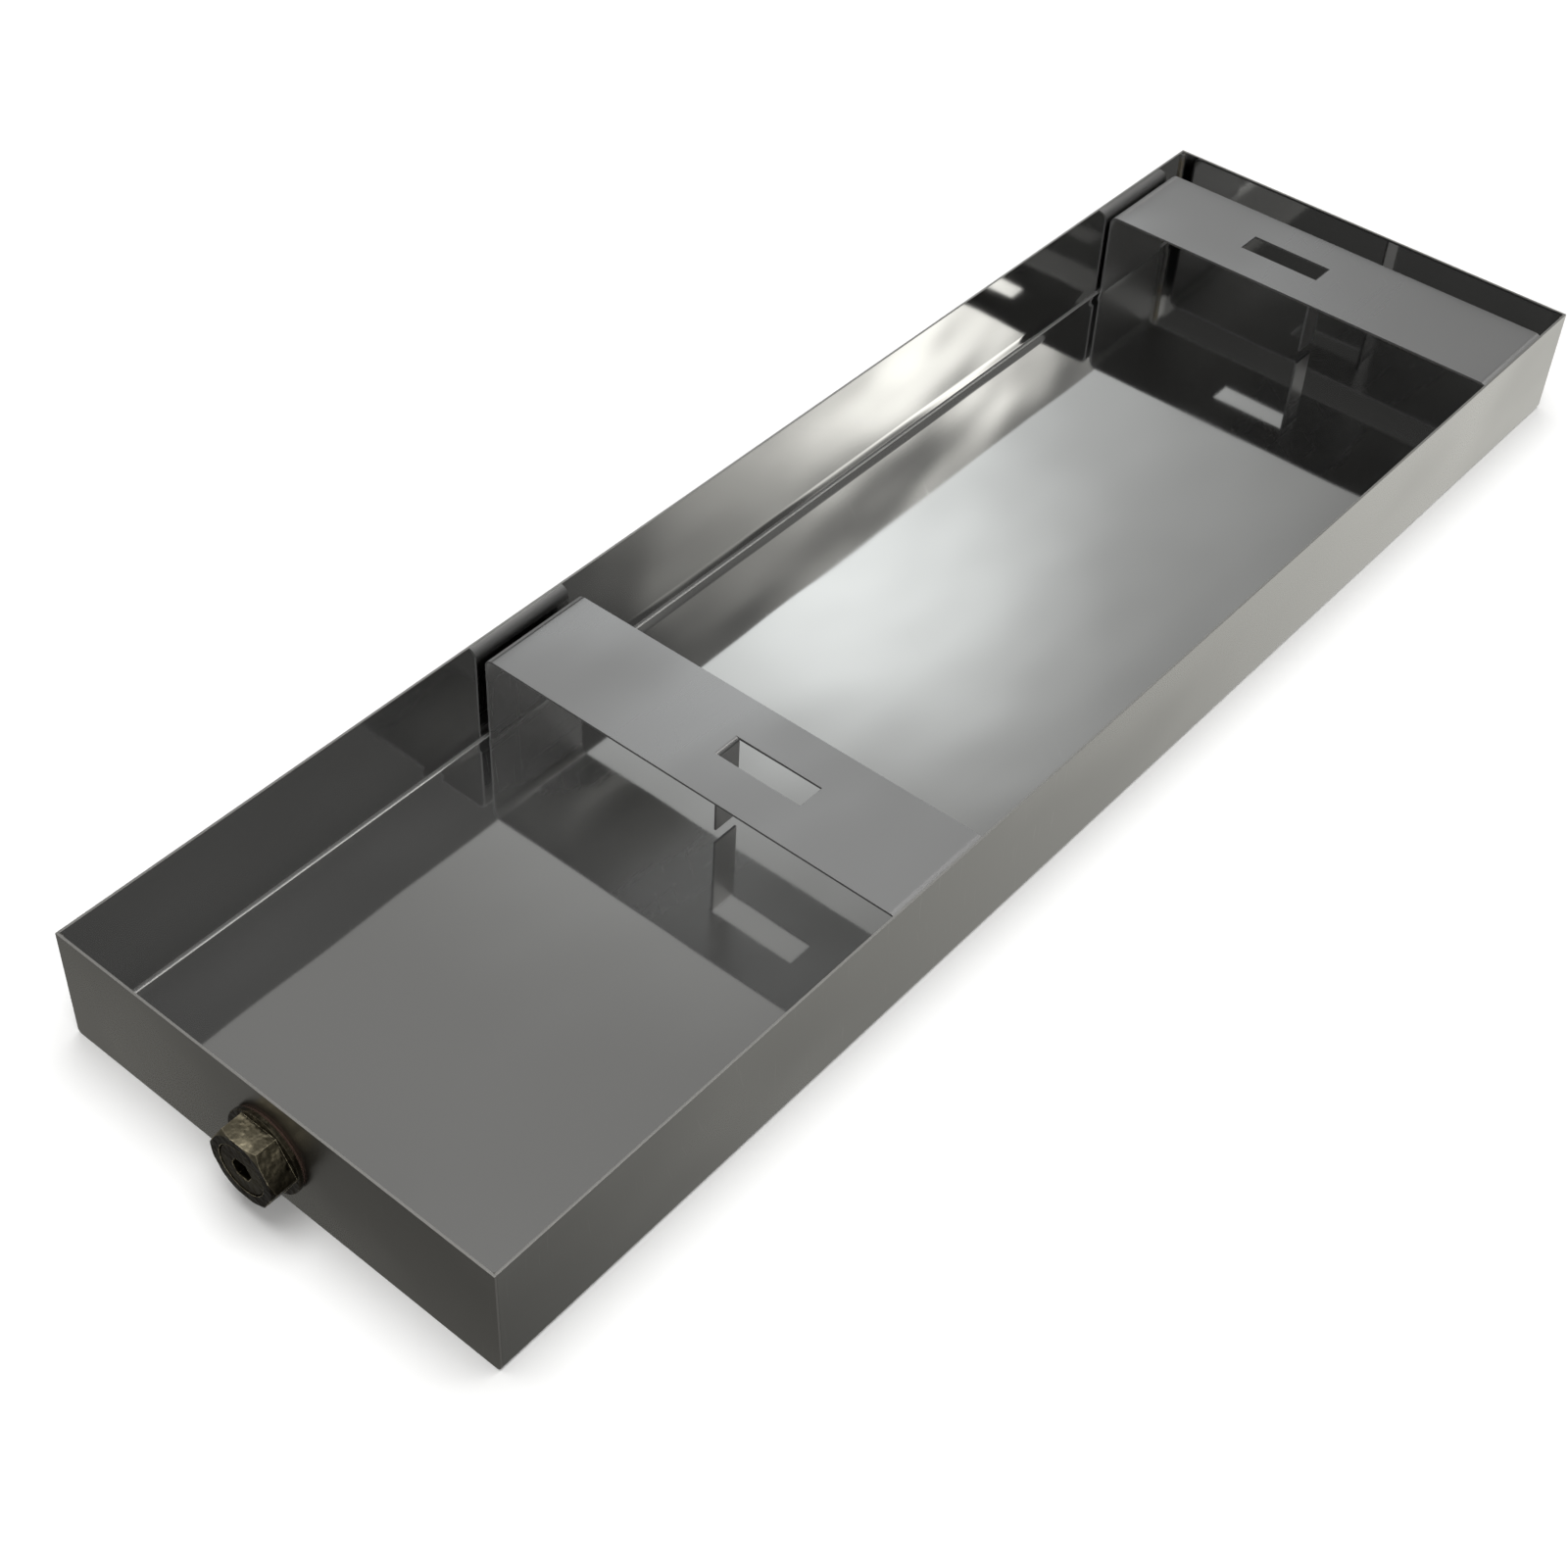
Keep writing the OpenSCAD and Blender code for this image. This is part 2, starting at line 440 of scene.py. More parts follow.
def sheet_finish(name, colour, roughness, ripple, grain, marks, fold, haze):
    """Stainless sheet: rolling lines, smudges and hairlines, dulled where it is bent.

    The floor lies flat under a film of oil, thickest by the drain, and the sides are wavier.
    """
    made, nodes, shader, place = material(name)
    rolled = place_group(nodes, ROLLED_GRAIN, Place=place)
    hairlines = place_group(nodes, SCRATCHES, Place=place)["Marks"]
    tone = nodes.mix(rolled["Smudges"], shade(colour, 1.0), shade(colour, 0.94))
    tone = nodes.mix(nodes.math("MULTIPLY", hairlines, marks), tone, shade(colour, 1.25))
    nodes.link(tone, shader.inputs["Base Color"])
    rough = nodes.math("MULTIPLY_ADD", rolled["Smudges"], 0.5 * roughness, roughness)
    rough = nodes.math("MULTIPLY_ADD", rolled["Lines"], grain, rough)
    rough = nodes.math("MULTIPLY_ADD", hairlines, marks, rough)
    bent = fold_mask(nodes, place, *fold)
    nodes.link(nodes.math("MULTIPLY_ADD", bent, 0.25, rough), shader.inputs["Roughness"])
    x, y, z = nodes.parts(place)
    film = nodes.math("MULTIPLY_ADD", rolled["Smudges"], 0.4, 0.8)
    film = nodes.math("MULTIPLY", film, nodes.span(y, 0.6 * FRONT, 0.2 * REAR, 1.0, 0.15))
    on_floor = nodes.span(z, PAN_BEND, 2 * PAN_BEND, -haze, 0.0)
    clean = nodes.math("MULTIPLY_ADD", bent, -0.14, 1.0)
    nodes.link(nodes.math("MULTIPLY_ADD", film, on_floor, clean), shader.inputs["Metallic"])
    aside = nodes.math("ABSOLUTE", x)
    waviness = nodes.span(aside, HALF_WIDTH - 3 * PAN_BEND, HALF_WIDTH, 0.3, 1.0)
    bump(nodes, shader, nodes.math("MULTIPLY", rolled["Height"], waviness), ripple, 4 * MM)
    return made


def grained_finish(name, colour, roughness, grain_scale=1500.0):
    """The pan's outside: the same steel, but matt and grained from lying on workshop floors."""
    made, nodes, shader, place = material(name)
    rolled = place_group(nodes, ROLLED_GRAIN, Place=place, Line_Scale=600.0)
    dust = place_group(nodes, SPECKLE, Place=place, Scale=grain_scale)
    hairlines = place_group(nodes, SCRATCHES, Place=place, Scale=30.0, Turn=1.1)["Marks"]
    tone = nodes.mix(rolled["Smudges"], shade(colour, 1.0), shade(colour, 0.86))
    tone = nodes.mix(nodes.math("MULTIPLY", dust["Grains"], 0.35), tone, shade(colour, 0.7))
    nodes.link(nodes.mix(nodes.math("MULTIPLY", hairlines, 0.2), tone, shade(colour, 1.2)),
               shader.inputs["Base Color"])
    rough = nodes.math("MULTIPLY_ADD", dust["Grains"], 0.16, roughness)
    rough = nodes.math("MULTIPLY_ADD", rolled["Smudges"], 0.06, rough)
    nodes.link(rough, shader.inputs["Roughness"])
    height = nodes.math("MULTIPLY_ADD", dust["Grains"], 0.02, rolled["Height"])
    bump(nodes, shader, height, 0.12, 4 * MM)
    return made


def cut_edge_finish(name, colour):
    """The sheared and ground edge of a sheet, rougher than its faces."""
    made, nodes, shader, place = material(name)
    dust = place_group(nodes, SPECKLE, Place=place, Scale=2600.0)
    nodes.link(nodes.mix(dust["Grains"], shade(colour, 1.0), shade(colour, 0.74)),
               shader.inputs["Base Color"])
    nodes.link(nodes.math("MULTIPLY_ADD", dust["Grains"], 0.2, 0.3), shader.inputs["Roughness"])
    bump(nodes, shader, dust["Grains"], 0.2, 0.1 * MM)
    return made


def weld_finish():
    """Welded bead: grey, with a little straw and blue heat colour in patches."""
    made, nodes, shader, place = material("weld_bead_steel")
    skin = place_group(nodes, SPECKLE, Place=place, Scale=900.0)
    straw = nodes.mix(skin["Patches"], (0.36, 0.36, 0.35, 1), (0.34, 0.30, 0.23, 1))
    tone = nodes.mix(nodes.span(skin["Grains"], 0.5, 0.7), straw, (0.20, 0.21, 0.24, 1))
    nodes.link(tone, shader.inputs["Base Color"])
    nodes.link(nodes.math("MULTIPLY_ADD", skin["Grains"], 0.25, 0.22), shader.inputs["Roughness"])
    bump(nodes, shader, skin["Grains"], 0.3, 0.15 * MM)
    return made


def hexagon_top_highlight(nodes, place):
    """The upper flats of the drain's hexagon, given a painted highlight: lighter on top, where
    light falls from above.
    """
    x, y, z = nodes.parts(place)
    height = nodes.math("SUBTRACT", z, DRAIN_HEIGHT)
    height_squared = nodes.math("MULTIPLY", height, height)
    radius = nodes.math("SQRT", nodes.math("MULTIPLY_ADD", x, x, height_squared))
    beyond = nodes.span(radius, 0.485 * HEX_FLATS, 0.5 * HEX_FLATS)
    hexagon_end = outer_washer_low.y - COLLAR_THICKNESS
    before_collar = nodes.span(y, hexagon_end - 1.5 * MM, hexagon_end, 1.0, 0.0)
    upper = nodes.span(height, 0.05 * HEX_FLATS, 0.45 * HEX_FLATS)
    return nodes.math("MULTIPLY", nodes.math("MULTIPLY", beyond, before_collar), upper)


def brass_finish(name, clean, patina, roughness, edge_wear, blotches, top_flat_highlight=0.0):
    """Brass gone brown with oil and age, knocked about, and rubbed bright on its edges; the fitting
    also gets a painted highlight of clean brass on its hexagon's upper flats.
    """
    made, nodes, shader, place = material(name)
    skin = place_group(nodes, SPECKLE, Place=place, Scale=900.0)
    worn = place_group(nodes, EDGE_WEAR, Place=place, Reach=0.9 * MM)["Worn"]
    tarnish = nodes.mix(skin["Patches"], (*patina, 1.0), shade(clean, blotches))
    tarnish = nodes.mix(nodes.math("MULTIPLY", skin["Pits"], 0.6), tarnish, shade(patina, 0.45))
    # Painted highlight: clean brass mixed onto the upper hexagon flats, standing in for light
    # falling from above.
    if top_flat_highlight:
        uneven = nodes.span(skin["Patches"], 0.0, 1.0, top_flat_highlight, 0.35 * top_flat_highlight)
        highlight_on_flats = nodes.math("MULTIPLY", hexagon_top_highlight(nodes, place), uneven)
        tarnish = nodes.mix(highlight_on_flats, tarnish, shade(clean, 0.95))
    nodes.link(nodes.mix(nodes.math("MULTIPLY", worn, edge_wear), tarnish, (*clean, 1.0)),
               shader.inputs["Base Color"])
    rough = nodes.math("MULTIPLY_ADD", skin["Grains"], 0.25, roughness)
    nodes.link(nodes.math("MULTIPLY_ADD", worn, 0.15, rough), shader.inputs["Roughness"])
    nodes.link(nodes.math("MULTIPLY_ADD", worn, -0.35, 1.0), shader.inputs["Metallic"])
    height = nodes.math("MULTIPLY_ADD", skin["Pits"], -0.5, skin["Grains"])
    dents = nodes.noise(place, 230.0, 1.0, 0.5)
    bump(nodes, shader, nodes.math("MULTIPLY_ADD", dents, 18.0, height), 0.25, 0.2 * MM)
    return made


def plain_finish(name, light, dark, roughness, scale, depth):
    """A matt surface of fine fibres or grains, in two tones."""
    made, nodes, shader, place = material(name, metallic=0.0)
    skin = place_group(nodes, SPECKLE, Place=place, Scale=scale)
    tone = nodes.mix(skin["Grains"], (*dark, 1.0), (*light, 1.0))
    nodes.link(nodes.mix(nodes.math("MULTIPLY", skin["Patches"], 0.4), tone, (*dark, 1.0)),
               shader.inputs["Base Color"])
    rough = nodes.math("MULTIPLY_ADD", skin["Grains"], 0.2, roughness)
    nodes.link(rough, shader.inputs["Roughness"])
    bump(nodes, shader, skin["Grains"], 0.4, depth)
    return made


inside_steel = sheet_finish(
    "polished_inside_steel", (0.60, 0.60, 0.595), roughness=0.05, ripple=0.36, grain=0.012,
    marks=0.03, fold=(PAN_BEND + 0.5 * MM, 0.0, PAN_BEND), haze=0.05)
outside_steel = grained_finish("grained_outside_steel", (0.56, 0.56, 0.54), roughness=0.2)
wall_steel = grained_finish("grained_end_wall_steel", (0.55, 0.54, 0.51), roughness=0.2)
bridge_steel = sheet_finish(
    "satin_bridge_steel", (0.575, 0.575, 0.58), roughness=0.26, ripple=0.3, grain=0.02,
    marks=0.01, fold=(10 * MM, RIM - 3 * STRAP_BEND, RIM), haze=0.0)
cut_edge = cut_edge_finish("cut_edge_steel", (0.66, 0.65, 0.63))
bridge_edge = cut_edge_finish("bridge_edge_steel", (0.42, 0.42, 0.43))
weld_steel = weld_finish()
# The fitting's brass carries a painted highlight on the hexagon's upper flats.
fitting_brass = brass_finish(
    "aged_fitting_brass", clean=(0.80, 0.71, 0.50), patina=(0.045, 0.036, 0.024),
    roughness=0.18, edge_wear=1.0, blotches=0.1, top_flat_highlight=0.75)
nut_brass = brass_finish(
    "oiled_nut_brass", clean=(0.62, 0.50, 0.26), patina=(0.20, 0.14, 0.06),
    roughness=0.25, edge_wear=0.8, blotches=0.42)
plug_brass = brass_finish(
    "handled_plug_brass", clean=(0.82, 0.73, 0.50), patina=(0.07, 0.056, 0.034),
    roughness=0.2, edge_wear=1.0, blotches=0.2)
washer_fibre = plain_finish(
    "brown_washer_fibre", light=(0.075, 0.042, 0.028), dark=(0.03, 0.018, 0.013),
    roughness=0.7, scale=2200.0, depth=0.15 * MM)
seal_rubber = plain_finish(
    "black_seal_rubber", light=(0.03, 0.03, 0.03), dark=(0.012, 0.012, 0.012),
    roughness=0.5, scale=1500.0, depth=0.05 * MM)


# ---------------------------------------------------------------- the pan

def fold_tray():
    """Floor and both long sides folded from one sheet, drawn as its outside face."""
    length = tray_high.y - tray_low.y
    middle_y = (tray_low.y + tray_high.y) / 2
    flat_half = HALF_WIDTH - PAN_BEND
    tray = start("folded_tray", "plane", size=1, location=(0, middle_y, 0),
                 scale=(2 * flat_half, length, 1))
    with editing(tray):
        for side in (-1, 1):
            fold = side * flat_half
            roll_edge(lambda point, _: near(point.x, fold), tray, (fold, middle_y, PAN_BEND),
                      Vector((0, 0, -1)), Vector((side, 0, 0)), 8)
            bpy.ops.mesh.extrude_region_move(
                TRANSFORM_OT_translate={"value": (0, 0, RIM - PAN_BEND)})
    face_outward(tray, Vector((0, middle_y, RIM)))
    wear(tray, outside_steel, inside_steel, cut_edge)
    apply_modifier(tray, "SOLIDIFY", thickness=SHEET, offset=-1, use_even_offset=True,
                   material_offset=1, material_offset_rim=2)
    soften(tray, RAW_EDGE, angle=60)
    finish_piece(tray, "pan", "tray_shell")


def cut_end_wall(name, node, low, high, inward, drilled):
    """A plate, its lower corners rounded to the tray's bends, with or without the drain's hole."""
    middle = (low + high) / 2
    wall = start(name, "cube", size=1, location=middle, scale=high - low)
    wear(wall, wall_steel, inside_steel, cut_edge)
    with editing(wall):
        choose(wall, "edge",
               lambda point, _: near(abs(point.x), HALF_WIDTH) and near(point.z, low.z))
        bpy.ops.mesh.bevel(offset=PAN_BEND, segments=8, affect="EDGES")
    if drilled:
        combine(wall, turned("hole", low.y - SHEET, HOLE_RADIUS, 3 * SHEET))
    soften(wall, RAW_EDGE, angle=60)
    give_faces(wall, 2, lambda _, face: abs(face.normal.y) < 0.5)
    give_faces(wall, 1, lambda _, face: face.normal.y * inward > 0.5)
    finish_piece(wall, "pan", node)


def lay_weld(name, node, corner_y, inward):
    """A bead of overlapping ripples: down one corner, across the floor's end and up the other."""
    inset = 0.6 * MM
    ripple = 1.5 * MM
    pitch = 1.35 * MM
    corner_x = HALF_WIDTH - SHEET - inset
    line_y = corner_y + inward * inset
    bottom = SHEET + inset
    rise = RIM - bottom - ripple
    left_corner, right_corner = (-corner_x, line_y, bottom), (corner_x, line_y, bottom)
    across, upward = (pitch, 0, 0), (0, 0, pitch)
    runs = []
    for place, step, length in ((left_corner, across, 2 * corner_x),
                                (left_corner, upward, rise),
                                (right_corner, upward, rise)):
        flattened = [0.8 if part else 1.0 for part in step]
        bead = start(name, "uv_sphere", segments=10, ring_count=6, radius=ripple,
                     location=place, scale=flattened, rotation=(0.5 * inward, 0, 0.3))
        apply_modifier(bead, "ARRAY", use_relative_offset=False, use_constant_offset=True,
                       constant_offset_displace=step, count=int(length / pitch) + 1)
        runs.append(bead)
    join(*runs)
    bead = runs[0]
    wander = bpy.data.textures.new(name + "_wander", "CLOUDS")
    wander.noise_scale = 7 * MM
    apply_modifier(bead, "DISPLACE", texture=wander, strength=0.35 * MM, mid_level=0.75)
    wear(bead, weld_steel)
    finish_piece(bead, "pan", node, smooth_angle=60)


# ---------------------------------------------------------------- the bridges

def fold_bridge(name, node, body, toward):
    """A strap with its ends folded down as legs, and a third leg folded out of its hand slot."""
    low, high = corners(node)
    middle = (low + high) / 2
    flat_half = (high.x - low.x) / 2 - STRAP_BEND
    bridge = start(name, "plane", size=1, location=(middle.x, middle.y, high.z),
                   scale=(2 * flat_half, high.y - low.y, 1))
    slot_near = middle.x + toward * (SLOT_START - PAN_BEND)
    slot_far = middle.x + toward * (SLOT_START + SLOT_LENGTH)
    with editing(bridge):
        for place, across in (((slot_near, 0, 0), (1, 0, 0)), ((slot_far, 0, 0), (1, 0, 0)),
                              ((0, middle.y - SLOT_WIDTH / 2, 0), (0, 1, 0)),
                              ((0, middle.y + SLOT_WIDTH / 2, 0), (0, 1, 0))):
            bpy.ops.mesh.select_all(action="SELECT")
            bpy.ops.mesh.bisect(plane_co=place, plane_no=across)
        slot_middle = Vector(((slot_near + slot_far) / 2, middle.y, high.z))
        choose(bridge, "face", lambda point, _: (point - slot_middle).length < SLOT_WIDTH / 2)
        bpy.ops.mesh.delete(type="FACE")
        down = Vector((0, 0, -1))
        roll_edge(lambda point, _: near(point.x, slot_near) and near(point.y, middle.y),
                  bridge, (slot_near, middle.y, high.z - PAN_BEND), -down,
                  Vector((toward, 0, 0)), 6)
        bpy.ops.mesh.extrude_region_move(
            TRANSFORM_OT_translate={"value": down * (LEG_DROP - PAN_BEND)})
        for side in (-1, 1):
            fold = middle.x + side * flat_half
            roll_edge(lambda point, _: near(point.x, fold), bridge,
                      (fold, middle.y, high.z - STRAP_BEND), -down, Vector((side, 0, 0)), 10)
            bpy.ops.mesh.extrude_region_move(
                TRANSFORM_OT_translate={"value": down * (high.z - low.z - STRAP_BEND)})
    face_outward(bridge, Vector((middle.x, middle.y, low.z)))
    wear(bridge, bridge_steel, bridge_edge)
    apply_modifier(bridge, "SOLIDIFY", thickness=SHEET, offset=-1, use_even_offset=True,
                   material_offset_rim=1)
    soften(bridge, RAW_EDGE, angle=60)
    finish_piece(bridge, body, node)


# ---------------------------------------------------------------- the drain

def chamfered_hexagon(name, outer_face, inner_face):
    """Hexagon bar with its outer corners turned off at 30 degrees."""
    corner = HEX_FLATS / math.sqrt(3)
    length = inner_face - outer_face
    bar = turned(name, outer_face, corner, length, steps=6)
    cone = turned("cone", outer_face + HEX_CHAMFER, corner + CONE_PLAY, length)
    with editing(cone):
        choose(cone, "face", lambda point, _: near(point.y, outer_face + HEX_CHAMFER))
        bpy.ops.mesh.inset(thickness=HEX_CHAMFER * CHAMFER_SLOPE, depth=0)
        bpy.ops.transform.translate(value=(0, -HEX_CHAMFER, 0))
    combine(bar, cone, "INTERSECT")
    return bar


def thread(name, outer_face, root_radius, turns):
    """A right-handed ridge wound round the drain's axis, growing inward from its outer end."""
    half = 0.5 * THREAD_PITCH
    triangle_height = 1.5 * half
    ridge = start(name, "circle", vertices=3, radius=half, location=(root_radius, 0, 0),
                  rotation=(0, 0, -math.pi / 2), scale=(0.94, THREAD_DEPTH / triangle_height, 1))
    apply_modifier(ridge, "SCREW", axis="Y", angle=math.tau, screw_offset=THREAD_PITCH,
                   iterations=turns, steps=THREAD_STEPS, render_steps=THREAD_STEPS)
    with editing(ridge):
        bpy.ops.mesh.select_all(action="SELECT")
        bpy.ops.mesh.remove_doubles(threshold=MERGE_DISTANCE)
        bpy.ops.mesh.fill_holes(sides=3)
        bpy.ops.mesh.select_all(action="SELECT")
        bpy.ops.mesh.normals_make_consistent(inside=False)
    ridge.location = (0, outer_face + half, DRAIN_HEIGHT)
    return settle(ridge)


def turn_fitting():
    """Collar, hexagon and threaded shank in one piece, bored through and recessed for the plug."""
    outer_face, inner_face = fitting_low.y, fitting_high.y
    collar_face = outer_washer_low.y - COLLAR_THICKNESS
    inside_collar = collar_face + 1 * MM
    root = SHANK_RADIUS - THREAD_DEPTH
    fitting = turned("brass_drain_fitting", collar_face, COLLAR_RADIUS, COLLAR_THICKNESS)
    soften(fitting, 0.5 * MM)
    combine(fitting, chamfered_hexagon("hexagon", outer_face, inside_collar), "UNION")
    combine(fitting, turned("shank", inside_collar, root, inner_face - inside_collar), "UNION")
    in_front = outer_face - SHEET
    combine(fitting, turned("bore", in_front, BORE_RADIUS, 40 * MM))
    combine(fitting, turned("recess", in_front, SEAT_RADIUS, SEAT_FACE - in_front))
    soften(fitting, 0.4 * MM, angle=28)
    thread_start = outer_washer_low.y - 0.5 * MM
    turns = int((inner_face - outer_washer_low.y - 0.5 * MM) / THREAD_PITCH)
    join(fitting, thread("shank_thread", thread_start, root, turns))
    wear(fitting, fitting_brass)
    finish_piece(fitting, "pan", "drain_fitting")


def cut_nut():
    """Thin lock nut, chamfered on the face away from the wall."""
    thickness = nut_high.y - nut_low.y
    corner = HEX_FLATS / math.sqrt(3)
    nut = turned("brass_lock_nut", nut_low.y, corner, thickness, steps=6)
    cone = turned("cone", nut_low.y - 1 * MM, corner + CONE_PLAY, thickness + 1 * MM - NUT_CHAMFER)
    with editing(cone):
        choose(cone, "face", lambda point, _: near(point.y, nut_high.y - NUT_CHAMFER))
        bpy.ops.mesh.inset(thickness=NUT_CHAMFER * CHAMFER_SLOPE, depth=0)
        bpy.ops.transform.translate(value=(0, NUT_CHAMFER, 0))
    combine(nut, cone, "INTERSECT")
    bore = turned("bore", nut_low.y - 1 * MM, SHANK_RADIUS + 0.05 * MM, thickness + 2 * MM)
    combine(nut, bore)
    soften(nut, 0.3 * MM, angle=28)
    wear(nut, nut_brass)
    finish_piece(nut, "pan", "lock_nut")


def punch_ring(name, node, body, low, high, hole, edge, finish):
    """A washer or seal punched from flat stock, its edges a little rounded."""
    ring = turned(name, low.y, high.x, high.y - low.y)
    combine(ring, turned("hole", low.y - 1 * MM, hole, high.y - low.y + 2 * MM))
    soften(ring, edge, segments=3)
    wear(ring, finish)
    finish_piece(ring, body, node)


def turn_plug():
    """Round head with a hexagon key socket, and a threaded shank."""
    root = PLUG_RADIUS - THREAD_DEPTH
    plug = turned("brass_drain_plug", plug_low.y, HEAD_RADIUS, HEAD_INNER_FACE - plug_low.y)
    soften(plug, 0.5 * MM, segments=3)
    shank = turned("shank", HEAD_INNER_FACE - 1 * MM, root, plug_high.y - HEAD_INNER_FACE + 1 * MM)
    combine(plug, shank, "UNION")
    key_corner = KEY_FLATS / math.sqrt(3)
    socket = turned("key_socket", plug_low.y - 1 * MM, key_corner, KEY_DEPTH + 1 * MM, steps=6)
    combine(plug, socket)
    soften(plug, 0.2 * MM, angle=40)
    thread_start = HEAD_INNER_FACE + 0.9 * MM
    turns = int((plug_high.y - thread_start) / THREAD_PITCH) - 1
    join(plug, thread("plug_thread", thread_start, root, turns))
    wear(plug, plug_brass)
    finish_piece(plug, "drain_plug", "drain_plug")


fold_tray()
cut_end_wall("drain_end_wall", "front_wall", front_low, front_high, 1, drilled=True)
cut_end_wall("far_end_wall", "rear_wall", rear_low, rear_high, -1, drilled=False)
lay_weld("drain_end_weld", "front_seam_weld", front_high.y, 1)
lay_weld("far_end_weld", "rear_seam_weld", rear_low.y, -1)
fold_bridge("front_lift_out_bridge", "front_bridge", "front_bridge", 1)
fold_bridge("rear_lift_out_bridge", "rear_bridge", "rear_bridge", -1)
turn_fitting()
cut_nut()
punch_ring("outer_fibre_washer", "outer_washer", "pan",
           outer_washer_low, outer_washer_high, HOLE_RADIUS, 0.3 * MM, washer_fibre)
punch_ring("inner_fibre_washer", "inner_washer", "pan",
           inner_washer_low, inner_washer_high, HOLE_RADIUS, 0.3 * MM, washer_fibre)
turn_plug()
punch_ring("plug_rubber_seal", "plug_seal", "plug_seal",
           seal_low, seal_high, PLUG_RADIUS + 0.05 * MM, 0.4 * MM, seal_rubber)


# ---------------------------------------------------------------- floor, light and camera

FLOOR_SIZE = 24.0
FLOOR_FADES = (1.2, 3.0)
BACKDROP = (1.0, 1.0, 1.0, 1.0)


def heading(azimuth, elevation):
    """Unit vector towards a compass heading: 0 is +Y, 90 is +X, and elevation is above level."""
    turn, rise = math.radians(azimuth), math.radians(elevation)
    level = math.cos(rise)
    return Vector((math.sin(turn) * level, math.cos(turn) * level, math.sin(rise)))


def studio_floor():
    """A pale matt floor that fades into the backdrop; to reflected rays it glows as a painted
    reflection, darker towards the drain end and a little lighter left of the middle, standing in
    for shade on the ground by the pan.
    """
    bpy.ops.mesh.primitive_plane_add(size=FLOOR_SIZE)
    floor = bpy.context.object
    floor.name = "studio_floor"
    made = bpy.data.materials.new("pale_floor")
    made.use_nodes = True
    nodes = Nodes(made.node_tree)
    made.node_tree.nodes.clear()
    matt = nodes.add("ShaderNodeBsdfDiffuse")
    matt.inputs["Color"].default_value = (0.9, 0.9, 0.9, 1)
    far = nodes.add("ShaderNodeEmission")
    far.inputs["Color"].default_value = BACKDROP
    pale = nodes.add("ShaderNodeMixShader")
    painted_floor_reflection = nodes.add("ShaderNodeEmission")
    x, y, _ = nodes.parts(nodes.add("ShaderNodeTexCoord").outputs["Object"])
    y_squared = nodes.math("MULTIPLY", y, y)
    distance = nodes.math("SQRT", nodes.math("MULTIPLY_ADD", x, x, y_squared))
    nodes.link(nodes.span(distance, *FLOOR_FADES), pale.inputs[0])
    nodes.link(matt.outputs[0], pale.inputs[1])
    nodes.link(far.outputs[0], pale.inputs[2])
    # Painted reflection: glossy rays see a glow that is darker towards the drain end, standing in
    # for shaded ground beside the pan.
    along = nodes.span(y, FRONT - 50 * MM, REAR - 50 * MM, 0.1, 0.84, "LINEAR")
    beside = nodes.span(x, -HALF_WIDTH, 0.0, 0.06, 0.0)
    nodes.link(nodes.math("ADD", along, beside), painted_floor_reflection.inputs["Strength"])
    painted_floor_reflection.inputs["Color"].default_value = (1.0, 0.99, 0.95, 1)
    switch = nodes.add("ShaderNodeMixShader")
    nodes.link(nodes.add("ShaderNodeLightPath").outputs["Is Glossy Ray"], switch.inputs[0])
    nodes.link(pale.outputs[0], switch.inputs[1])
    nodes.link(painted_floor_reflection.outputs[0], switch.inputs[2])
    nodes.link(switch.outputs[0], nodes.add("ShaderNodeOutputMaterial").inputs["Surface"])
    floor.data.materials.append(made)


COOL = (0.965, 1.0, 1.0)
WARM = (1.0, 0.99, 0.94)
PLAIN = (1.0, 0.995, 0.97)

# name: azimuth, elevation, half angle of the even part, half angle where it ends, strength, tint
SOFTBOXES = {
    "back_left_core": (-36.0, 40.0, 0.0, 6.6, 0.71, COOL),
    "back_left_glow": (-38.0, 35.0, 0.0, 17.0, 0.63, COOL),
    "back_right_core": (35.5, 33.0, 1.0, 5.5, 2.7, WARM),
    "back_right_glow": (39.0, 37.0, 1.0, 5.5, 0.7, WARM),
    "overhead": (0.0, 86.0, 8.0, 34.0, 0.8, PLAIN),
    "glint": (31.0, 58.0, 2.0, 9.0, 2.6, WARM),
    "right": (110.0, 32.0, 6.0, 26.0, 0.9, PLAIN),
    "behind": (172.0, 44.0, 4.0, 22.0, 0.7, PLAIN),
    "left": (-112.0, 34.0, 6.0, 26.0, 0.9, PLAIN),
}
# Black screens round the set, which keep the base light off two sides: the same, without a tint
BLACK_SCREENS = {
    "right": (78.0, 42.0, 26.0, 33.0, 0.62),
    "behind_left": (-141.0, 44.0, 18.0, 34.0, 0.72),
}


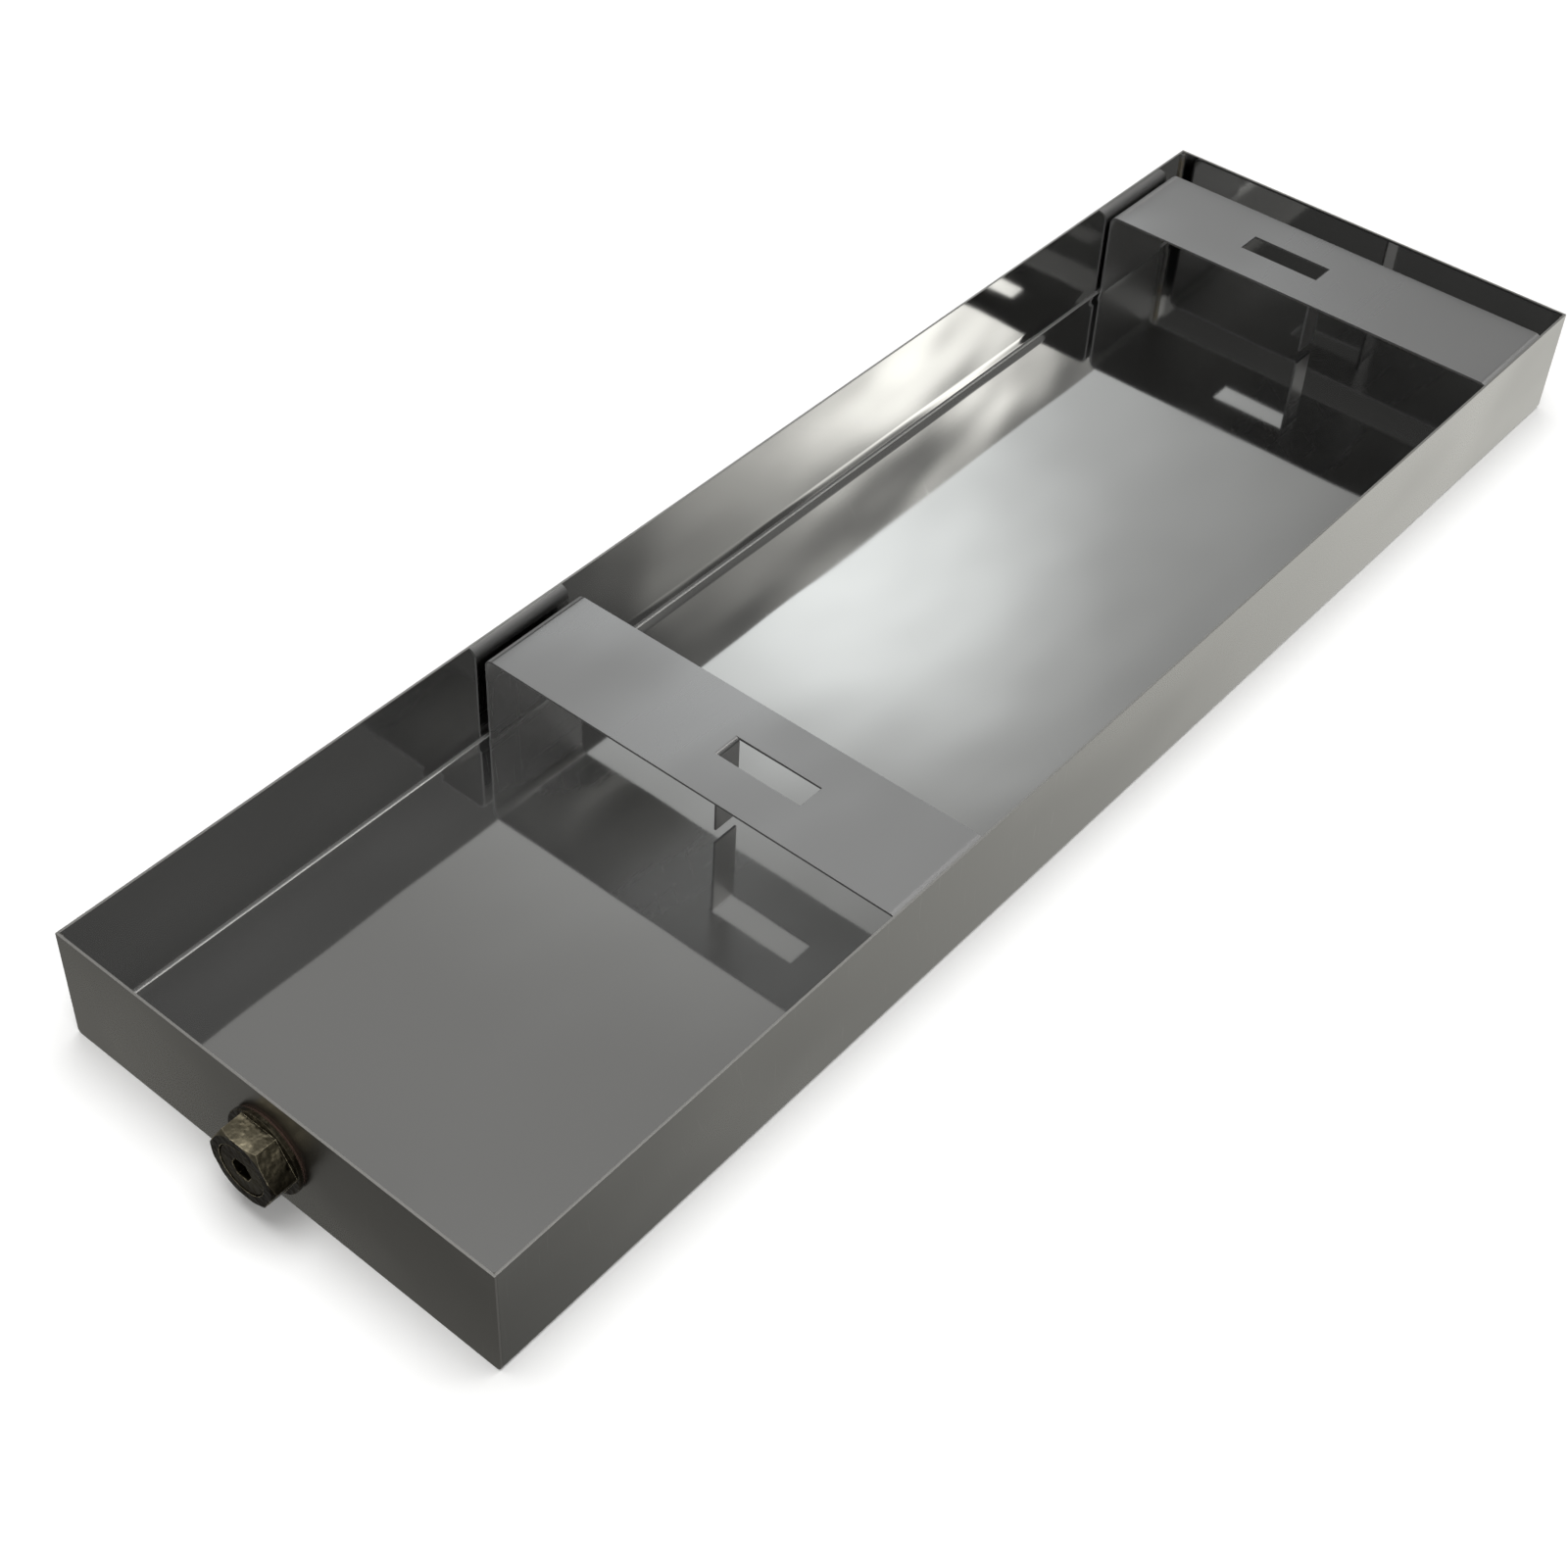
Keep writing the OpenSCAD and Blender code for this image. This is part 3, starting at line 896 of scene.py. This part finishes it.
def studio_light():
    """Even light with soft windows in it, seen by everything but the camera."""
    world = bpy.data.worlds.new("studio")
    bpy.context.scene.world = world
    world.use_nodes = True
    nodes = Nodes(world.node_tree)
    world.node_tree.nodes.clear()
    direction = nodes.add("ShaderNodeTexCoord").outputs["Generated"]

    def pool(azimuth, elevation, even, end, strength):
        dot = nodes.add("ShaderNodeVectorMath", operation="DOT_PRODUCT")
        nodes.link(direction, dot.inputs[0])
        dot.inputs[1].default_value = heading(azimuth, elevation)
        angle = nodes.math("ARCCOSINE", dot.outputs["Value"])
        return nodes.span(angle, math.radians(even), math.radians(end), strength, 0.0)

    def tinted(strength, tint):
        scaled = nodes.add("ShaderNodeVectorMath", operation="SCALE")
        scaled.inputs[0].default_value = tint
        nodes.link(strength, scaled.inputs["Scale"])
        return scaled.outputs[0]

    height = nodes.parts(direction)[2]
    base = nodes.span(height, -0.1, 0.9, 0.205, 0.255, "LINEAR")
    for screen in BLACK_SCREENS.values():
        base = nodes.math("MULTIPLY", base, nodes.math("SUBTRACT", 1.0, pool(*screen)))
    total = tinted(base, PLAIN)
    for *shape, tint in SOFTBOXES.values():
        summed = nodes.add("ShaderNodeVectorMath", operation="ADD")
        nodes.link(total, summed.inputs[0])
        nodes.link(tinted(pool(*shape), tint), summed.inputs[1])
        total = summed.outputs[0]
    seen = nodes.add("ShaderNodeBackground")
    seen.inputs["Color"].default_value = BACKDROP
    lit = nodes.add("ShaderNodeBackground")
    nodes.link(total, lit.inputs["Color"])
    switch = nodes.add("ShaderNodeMixShader")
    nodes.link(nodes.add("ShaderNodeLightPath").outputs["Is Camera Ray"], switch.inputs[0])
    nodes.link(lit.outputs[0], switch.inputs[1])
    nodes.link(seen.outputs[0], switch.inputs[2])
    nodes.link(switch.outputs[0], nodes.add("ShaderNodeOutputWorld").inputs["Surface"])


def floor_light(name, place, size, power):
    """A large soft light for the floor and matt pieces, which doesn't mirror in the metal."""
    lamp = bpy.data.lights.new(name, "AREA")
    lamp.shape = "DISK"
    lamp.size = size
    lamp.energy = power
    made = bpy.data.objects.new(name, lamp)
    made.location = place
    made.rotation_euler = (-Vector(place)).to_track_quat("-Z", "Y").to_euler()
    made.visible_glossy = False
    bpy.context.scene.collection.objects.link(made)


CAMERA_PLACE = Vector((0.61803, -0.92358, 1.00322))
CAMERA_AIM = Vector((-0.44956, 0.55612, -0.69902))
CAMERA_ROLL = math.radians(-2.253)
CAMERA_SHIFT = (0.0286, -0.0131)
FOCAL_LENGTH = 57.763
SENSOR_WIDTH = 36.0


def add_camera():
    lens = bpy.data.cameras.new("camera")
    lens.lens = FOCAL_LENGTH
    lens.sensor_width = SENSOR_WIDTH
    lens.shift_x, lens.shift_y = CAMERA_SHIFT
    camera = bpy.data.objects.new("camera", lens)
    turn = CAMERA_AIM.to_track_quat("-Z", "Y").to_matrix().to_4x4()
    roll = Matrix.Rotation(CAMERA_ROLL, 4, CAMERA_AIM)
    camera.matrix_world = Matrix.Translation(CAMERA_PLACE) @ roll @ turn
    bpy.context.scene.collection.objects.link(camera)
    bpy.context.scene.camera = camera


studio_floor()
studio_light()
floor_light("overhead_soft", (0.0, 0.0, 3.2), 3.0, 95)
floor_light("side_soft", (2.2, -1.5, 2.6), 2.0, 25)
add_camera()
bpy.context.scene.view_settings.view_transform = "Standard"
